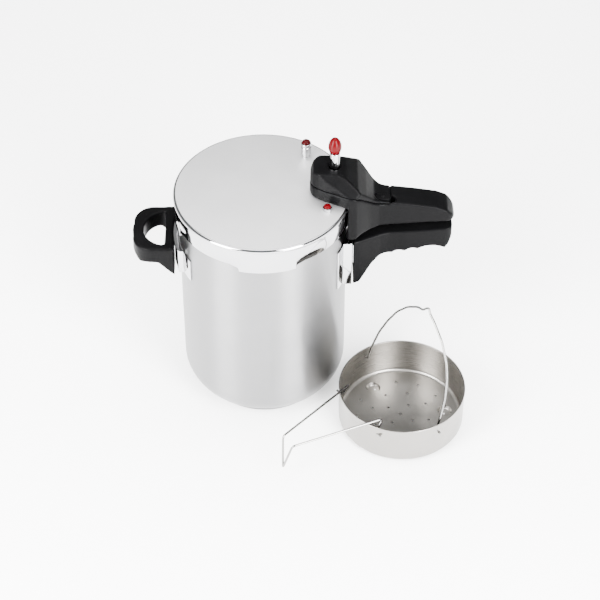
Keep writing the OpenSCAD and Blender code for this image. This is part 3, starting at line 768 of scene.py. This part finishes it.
@dataclass
class Lid:
    """The flat lid with its rolled rim, skirt and four bayonet lugs. Sizes are in millimetres."""

    top: float = field(default_factory=lambda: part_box("lid")[1].z / MM)
    foot: float = field(default_factory=lambda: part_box("lid")[0].z / MM)
    skirt: float = 114.8
    sheet: float = 1.2
    plate: float = 1.8
    lip: float = 1.6
    lip_reach: float = 4.1
    bead: float = 3.4
    lug_turn: float = -86.0
    lug_width: float = 37.0
    lugs: int = 4
    skirt_rise: float = 11.0

    def build(self) -> None:
        """Builds the lid in one piece."""
        inner = self.skirt - self.sheet
        bead_x, bead_z = self.skirt + 1.0 - self.bead, self.top - self.bead - 0.2
        under = self.top - self.plate
        lip_in = self.skirt - self.lip_reach
        corners = [
            (0, self.top, 0), *arc((bead_x, bead_z + 0.2), self.bead, 90, 12, 10),
            *arc((bead_x, bead_z), self.bead, 6, -44, 6),
            (self.skirt, bead_z - 7, 0), (self.skirt, self.foot, 1.3), (lip_in, self.foot, 0.5),
            (lip_in, self.foot + self.lip, 0.5), (inner, self.foot + self.lip, 0.5),
            (inner, under, 0.6),
            (0, under, 0),
        ]
        piece = spun("lid_plate", rounded(corners), steps=192)
        cutter = self.gaps()
        cut(piece, cutter)
        apply(piece, "BEVEL", width=0.25 * MM, segments=2, limit_method="ANGLE",
              angle_limit=math.radians(50), use_clamp_overlap=True)
        add_finish(piece, [PLATE_STEEL, RIM_STEEL])
        edge = (bead_x + 0.2) * MM
        for face in piece.data.polygons:
            centre = face.center
            face.material_index = 0 if math.hypot(centre.x, centre.y) < edge else 1
        smooth(piece, 30.0)
        hand_over(piece, PLATE_STEEL, "lid_steel", "lid", "lid")

    def gaps(self) -> bpy.types.Object:
        """Makes the cutter that opens the skirt between the lugs.

        Returns:
            One object with a blade for each gap.
        """
        half = 180.0 / self.lugs - self.lug_width / 2
        wide = self.skirt * math.sin(math.radians(half))
        narrow = self.skirt * math.sin(math.radians(half - 8.0))
        rise, low = self.skirt_rise, self.foot
        corners = [
            (wide, low - 2, 0), (wide, low + 0.62 * rise, 5.0), (narrow + 3, low + rise, 14.0),
            (-narrow - 3, low + rise, 14.0), (-wide, low + 0.62 * rise, 5.0), (-wide, low - 2, 0),
        ]
        outline = rounded(corners, 8)
        blades = []
        for index in range(self.lugs):
            start = self.skirt * 0.6 * MM
            blade = slab(f"gap_{index}", [(start, y * MM, z * MM) for y, z in outline], (0.06, 0, 0))
            turn = math.radians(self.lug_turn + (index + 0.5) * 360 / self.lugs)
            blade.data.transform(Matrix.Rotation(turn, 4, "Z"))
            blades.append(blade)
        deselect()
        for blade in blades:
            blade.select_set(True)
        bpy.context.view_layer.objects.active = blades[0]
        bpy.ops.object.join()
        return blades[0]


@dataclass
class Valves:
    """Regulator, safety valve and pressure pin. Heights are in millimetres above the lid."""

    lid_top: float = field(default_factory=lambda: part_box("lid")[1].z / MM)

    def build(self) -> None:
        """Builds the three valves' visible pieces."""
        self.regulator()
        self.safety()
        self.pin()

    def middle(self, node: str) -> Point2:
        """Gives the middle of a CAD node, seen from above."""
        low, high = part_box(node)
        return (low.x + high.x) / 2, (low.y + high.y) / 2

    def raised(self, corners: list[Corner]) -> list[Corner]:
        """Lifts corners that are given above the lid to the cooker's frame."""
        return [(r, z + self.lid_top, c) for r, z, c in corners]

    def regulator(self) -> None:
        """Spins the bright weight with its stem, and the red knob."""
        centre = self.middle("regulator_weight")
        corners = [
            (4.3, 10, 0.3), (12, 10, 1.0), (12, 32, 1.0), (6.6, 32, 0), (6.6, 64.2, 0.8), (3.0, 65, 0.0),
            (3.0, 74, 0.4), (0, 74, 0),
            (0, 32.1, 0), (4.3, 32.1, 0),
        ]
        weight = spun("regulator_stem", rounded(self.raised(corners), 5), centre, 96)
        hand_over(weight, CHROME, "chrome", "regulator", "regulator_weight")
        low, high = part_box("regulator_knob")
        bottom, top = low.z / MM - self.lid_top, high.z / MM - self.lid_top
        widest = (high.x - low.x) / 2 / MM
        egg = [(3.05, bottom + 9.3, 0), (3.05, bottom, 0), (5.6, bottom, 0.5)]
        tall = top - bottom
        for step in range(1, 25):
            angle = math.radians(-52 + 142 * step / 24)
            radius = widest * math.cos(angle) * (1 - 0.12 * math.sin(angle))
            egg.append((max(radius, 0.0), bottom + tall * (0.44 + 0.56 * math.sin(angle)), 0))
        egg[-1] = (0, top, 0)
        egg.append((0, bottom + 9.3, 0))
        knob = spun("regulator_egg", rounded(self.raised(egg)), centre, 96)
        hand_over(knob, RED, "red_plastic", "regulator", "regulator_knob")

    def safety(self) -> None:
        """Spins the bright barrel and the domed red cap with its plunger; the cap's red is darkened as painted
        shade from the hood over it.
        """
        centre = self.middle("safety_valve_body")
        barrel = [
            (1.5, -11.7, 0), (4.0, -11.7, 0.4), (4.0, 0.05, 0), (5.6, 0.05, 0.3), (5.6, 3.6, 0.5),
            (6.8, 4.4, 0.5), (6.8, 15.2, 0.3), (6.3, 15.7, 0), (6.3, 16.4, 0), (6.8, 16.9, 0.3),
            (6.8, 21, 0.7), (4.5, 21, 0.3), (4.5, 8, 0), (1.5, 8, 0),
        ]
        piece = spun("safety_barrel", rounded(self.raised(barrel), 4), centre, 96)
        hand_over(piece, CHROME, "chrome", "lid", "safety_valve_body")
        dome = [
            (0, 8.05, 0), (4.2, 8.05, 0.2), (4.2, 10.05, 0.2), (1.2, 10.05, 0), (1.2, 21.3, 0),
            (5.6, 21.3, 0.3),
        ]
        for step in range(1, 13):
            angle = math.radians(90 * step / 12)
            dome.append((5.8 * math.cos(angle), 21.7 + 3.5 * math.sin(angle), 0))
        dome[-1] = (0, 25.2, 0)
        cap = spun("safety_dome", rounded(self.raised(dome), 4), centre, 96)
        # painted shade: the dome gets the darker copy of the red plastic for the hood's shadow over it
        hand_over(cap, HOOD_SHADED_RED, "red_plastic", "safety_plunger", "safety_cap")

    def pin(self) -> None:
        """Breaks the hexagon's edges and spins the red pin."""
        guide = pressed("indicator_guide", "pin_hexagon", 0.4)
        hand_over(guide, CHROME, "chrome", "lid", "indicator_guide")
        centre = self.middle("indicator_pin")
        low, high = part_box("indicator_pin")
        bottom = low.z / MM - self.lid_top
        corners = [
            (0, bottom, 0), (3.2, bottom, 0.3), (3.2, bottom + 1.5, 0.2), (2.05, bottom + 1.5, 0),
            (2.05, 4.9, 0), (4.7, 4.9, 0.4), (4.7, 6.6, 0.8), (3.4, 7.4, 0.3), (2.9, 7.9, 0.3), (0, 7.9, 0),
        ]
        piece = spun("pressure_pin", rounded(self.raised(corners), 4), centre, 64)
        hand_over(piece, RED, "red_plastic", "indicator", "indicator_pin")


@dataclass
class ThumbSlide:
    """The oval button of the lid lock."""

    def build(self) -> None:
        """Softens the button and its ridge."""
        piece = moulded("lock_button", "thumb_slide", 0.3, 4)
        smooth(piece, 50.0)
        hand_over(piece, BLACK, "black_phenolic", "lock", "lock_button")


# ---------------------------------------------------------------- basket


@dataclass
class Basket:
    """The perforated basket with both wire handles. Sizes are in millimetres."""

    turn: float = 214.0
    radius: float = 85.0
    sheet: float = 1.0
    floor: float = 5.0
    foot_radius: float = 9.5
    foot_reach: float = 61.0
    feet: tuple[float, ...] = (32.0, 152.0, 272.0)
    hole: float = 1.6
    wire: float = 1.5
    lean: float = 13.0
    pivot: float = 46.0
    lifter_pivot: float = 50.0
    lifter_offset: float = 71.5

    def place(self) -> Matrix:
        """Gives the basket's own frame, at its centre on the floor."""
        low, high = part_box("basket")
        middle = Matrix.Translation(((low.x + high.x) / 2, (low.y + high.y) / 2, 0.0))
        return middle @ Matrix.Rotation(math.radians(self.turn), 4, "Z")

    def build(self) -> None:
        """Builds the basket and its two handles."""
        self.bowl()
        self.bail()
        self.lifter()

    def bowl(self) -> None:
        """Spins the bowl, presses its feet and drills its holes."""
        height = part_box("basket")[1].z / MM
        outer, inner = self.radius, self.radius - self.sheet
        under = self.floor - self.sheet
        corners = [
            (0, under, 0), (outer, under, 6.0), (outer, height - 2.2, 0.6), (outer + 0.8, height - 1.6, 0.5),
            (outer + 0.8, height - 0.2, 0.6), (outer - 0.2, height, 0.4), (inner, height - 0.5, 0.4),
            (inner, self.floor, 5.0), (0, self.floor, 0),
        ]
        piece = spun("basket_bowl", rounded(corners, 8), steps=180)
        for angle in self.feet:
            turn = math.radians(angle)
            spot = (self.foot_reach * MM * math.cos(turn), self.foot_reach * MM * math.sin(turn))
            foot = [(0, 0, 0), (self.foot_radius - 1.0, 0, 1.5), (self.foot_radius + 1.0, under + 0.6, 1.0),
                    (0, under + 0.6, 0)]
            cut(piece, spun("foot", rounded(foot, 5), spot, 48), "UNION")
            brim = self.floor + 0.2
            dish = [(0, 1.0, 0), (self.foot_radius - 2.0, 1.0, 1.5), (self.foot_radius + 0.4, brim, 0),
                    (0, brim, 0)]
            cut(piece, spun("dish", rounded(dish, 5), spot, 48))
        cut(piece, self.drills())
        add_finish(piece, [BASKET_STEEL, FLOOR_STEEL])
        for face in piece.data.polygons:
            level = face.center.z < (self.floor + 0.5) * MM
            face.material_index = 1 if level else 0
        piece.data.transform(self.place())
        smooth(piece, 32.0)
        hand_over(piece, BASKET_STEEL, "basket_steel", "basket", "basket")

    def drills(self) -> bpy.types.Object:
        """Makes the cutter for the steam holes and the pivot holes.

        Returns:
            One object with every drill.
        """
        spots = [(0.0, 0.0)]
        for ring in (1, 2, 3):
            for index in range(4 * ring):
                turn = math.radians(index * 90 / ring + 20 * ring)
                reach = ring * self.radius * 0.235
                spots.append((reach * math.cos(turn), reach * math.sin(turn)))
        drills = []
        for x, y in spots:
            drills.append(self.drill(self.hole, 12.0, Matrix.Translation((x * MM, y * MM, 4 * MM))))
        across = Matrix.Rotation(math.radians(90), 4, "X")
        reach = 4 * self.radius
        upright = Matrix.Translation((0, 0, self.pivot * MM)) @ across
        folded = Matrix.Translation((self.lifter_offset * MM, 0, self.lifter_pivot * MM)) @ across
        drills += [self.drill(self.wire + 0.3, reach, upright), self.drill(self.wire + 0.3, reach, folded)]
        deselect()
        for drill in drills:
            drill.select_set(True)
        bpy.context.view_layer.objects.active = drills[0]
        bpy.ops.object.join()
        return drills[0]

    def drill(self, radius: float, length: float, place: Matrix) -> bpy.types.Object:
        """Makes one drill, centred on its place and along its Z axis."""
        deselect()
        bpy.ops.mesh.primitive_cylinder_add(vertices=20, radius=radius * MM, depth=length * MM)
        piece = bpy.context.active_object
        piece.data.transform(place)
        return piece

    def bail(self) -> None:
        """Bends the upright handle, with its kink near the top."""
        half, top = 79.0, 148.0
        arch = [
            (half + 9, 0), (half, 0), (half + 0.5, 26), (half - 1, 54), (half - 7, 80), (half - 17, 103),
            (half - 34, 124), (half - 58, 141), (10, top - 2), (6, top + 4), (1, top + 1), (-4, top - 6),
            (-14, top - 8), (46 - half, top - 22), (30 - half, 106), (17 - half, 80), (7 - half, 52),
            (1.5 - half, 24), (-half, 0), (-half - 9, 0),
        ]
        place = self.place() @ Matrix.Translation((0, 0, self.pivot * MM))
        place = place @ Matrix.Rotation(math.radians(-self.lean), 4, "Y")
        piece = wire("upright_handle", [(0, y, z) for y, z in arch], self.wire, 6.0, place)
        hand_over(piece, WIRE_STEEL, "wire", "bail", "basket_bail")

    def lifter(self) -> None:
        """Bends the folded handle, out over the rim and down to its tip."""
        side = math.sqrt(self.radius ** 2 - self.lifter_offset ** 2)
        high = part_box("basket")[1].z / MM + self.wire + 2.6
        half = [
            (self.lifter_offset, side + 5, self.lifter_pivot), (self.lifter_offset, side - 5, self.lifter_pivot),
            (60, side - 8, high), (186, 11, high - 1),
        ]
        line = [*half, (194, 0, 18), *[(x, -y, z) for x, y, z in reversed(half)]]
        piece = wire("folded_handle", line, self.wire, 5.0, self.place())
        hand_over(piece, WIRE_STEEL, "wire", "lifter", "basket_lifter")


# ---------------------------------------------------------------- carried-over nodes


@dataclass
class SmallParts:
    """CAD nodes that are shown as they are, with a finish for each."""

    finishes: dict[str, Finish] = field(default_factory=lambda: {
        "base_disc": ALUMINIUM, "helper_screws": ZINC, "handle_screws": ZINC, "gasket": SILICONE,
        "lid_studs": ZINC, "stud_screws": ZINC, "cover_screws": ZINC, "vent_pipe": CHROME,
        "vent_nut": CHROME, "valve_seals": BLACK_RUBBER, "safety_plug": CHROME, "safety_nut": CHROME,
        "safety_spring": ZINC, "indicator_nut": CHROME, "lock_bolt": ZINC, "lock_spring": ZINC,
    })

    def build(self) -> None:
        """Gives each carried-over node its finish."""
        for name, finish in self.finishes.items():
            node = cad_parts[name]
            node.data.materials.clear()
            node.data.materials.append(PAINT.get(finish))
            LOG.info("%s: carried over as %s", name, finish.name)


# ---------------------------------------------------------------- studio


@dataclass
class Studio:
    """Floor, lights and camera.

    Attributes:
        eye: the camera's place.
        tilt: the camera's turn from straight down, in degrees.
        lens: its focal length, in millimetres.
        sensor: its sensor's width, in millimetres.
        even: strength of the sky for what it lights.
        mirrored: strength of the sky in reflections.
        overhead: power of the box above, in watts.
        upright: power of each box in front, in watts.
    """

    eye: Point3 = (0.049, -1.950, 2.038)
    tilt: float = 45.65
    lens: float = 120.0
    sensor: float = 36.0
    even: float = 3.8
    mirrored: float = 0.5
    overhead: float = 90.0
    upright: float = 230.0

    def build(self) -> None:
        """Sets the floor, the lights and the camera."""
        self.floor()
        self.sky()
        self.lights()
        self.camera()

    def floor(self) -> None:
        """Lays a pale floor."""
        deselect()
        bpy.ops.mesh.primitive_plane_add(size=8.0, location=(0, 0, -0.0005))
        floor = bpy.context.active_object
        floor.name = "floor"
        nodes = Nodes("pale_floor")
        nodes.shader.inputs["Base Color"].default_value = (0.93, 0.93, 0.93, 1.0)
        nodes.shader.inputs["Roughness"].default_value = 0.8
        floor.data.materials.append(nodes.material)

    def sky(self) -> None:
        """Lights everything softly from all round, and shows dimmer in reflections."""
        world = bpy.data.worlds.new("studio")
        world.use_nodes = True
        tree = world.node_tree
        background = tree.nodes["Background"]
        background.inputs["Color"].default_value = (1.0, 1.0, 1.0, 1.0)
        path = tree.nodes.new("ShaderNodeLightPath")
        strength = tree.nodes.new("ShaderNodeMapRange")
        strength.inputs["To Min"].default_value = self.even
        strength.inputs["To Max"].default_value = self.mirrored
        tree.links.new(path.outputs["Is Glossy Ray"], strength.inputs["Value"])
        tree.links.new(strength.outputs["Result"], background.inputs["Strength"])
        bpy.context.scene.world = world

    def lights(self) -> None:
        """Hangs one soft box overhead and stands two in front, left and right."""
        self.box("overhead", (0.1, 0.5, 2.6), (0.05, 0.0, 0.2), 2.2, 1.6, self.overhead)
        self.box("left_box", (-1.15, -1.10, 0.95), (0.0, 0.0, 0.2), 0.8, 1.9, self.upright)
        self.box("right_box", (0.95, -1.35, 0.95), (0.0, 0.0, 0.2), 0.7, 1.9, self.upright)

    def box(self, name: str, where: Point3, at: Point3, wide: float, tall: float, power: float) -> None:
        """Places one soft box.

        Args:
            name: the light's name.
            where: its place, in metres.
            at: the point that it faces.
            wide: its width.
            tall: its height.
            power: its power in watts.
        """
        light = bpy.data.lights.new(name, "AREA")
        light.shape = "RECTANGLE"
        light.size = wide
        light.size_y = tall
        light.energy = power
        lamp = bpy.data.objects.new(name, light)
        lamp.location = where
        lamp.rotation_euler = (Vector(at) - Vector(where)).to_track_quat("-Z", "Y").to_euler()
        bpy.context.scene.collection.objects.link(lamp)

    def camera(self) -> None:
        """Sets the camera that the picture is taken with."""
        lens = bpy.data.cameras.new("camera")
        lens.lens = self.lens
        lens.sensor_width = self.sensor
        camera = bpy.data.objects.new("camera", lens)
        camera.location = self.eye
        camera.rotation_euler = (math.radians(self.tilt), 0.0, 0.0)
        bpy.context.scene.collection.objects.link(camera)
        bpy.context.scene.camera = camera


def main() -> None:
    """Builds every piece and the studio."""
    logging.basicConfig(level=logging.INFO, format="%(name)s: %(message)s")
    for group in (Pot(), Fittings(), Grips(), Lid(), Valves(), ThumbSlide(), Basket(), SmallParts(), Studio()):
        LOG.info("building %s", type(group).__name__)
        group.build()
    deselect()


if __name__ == "__main__":
    main()
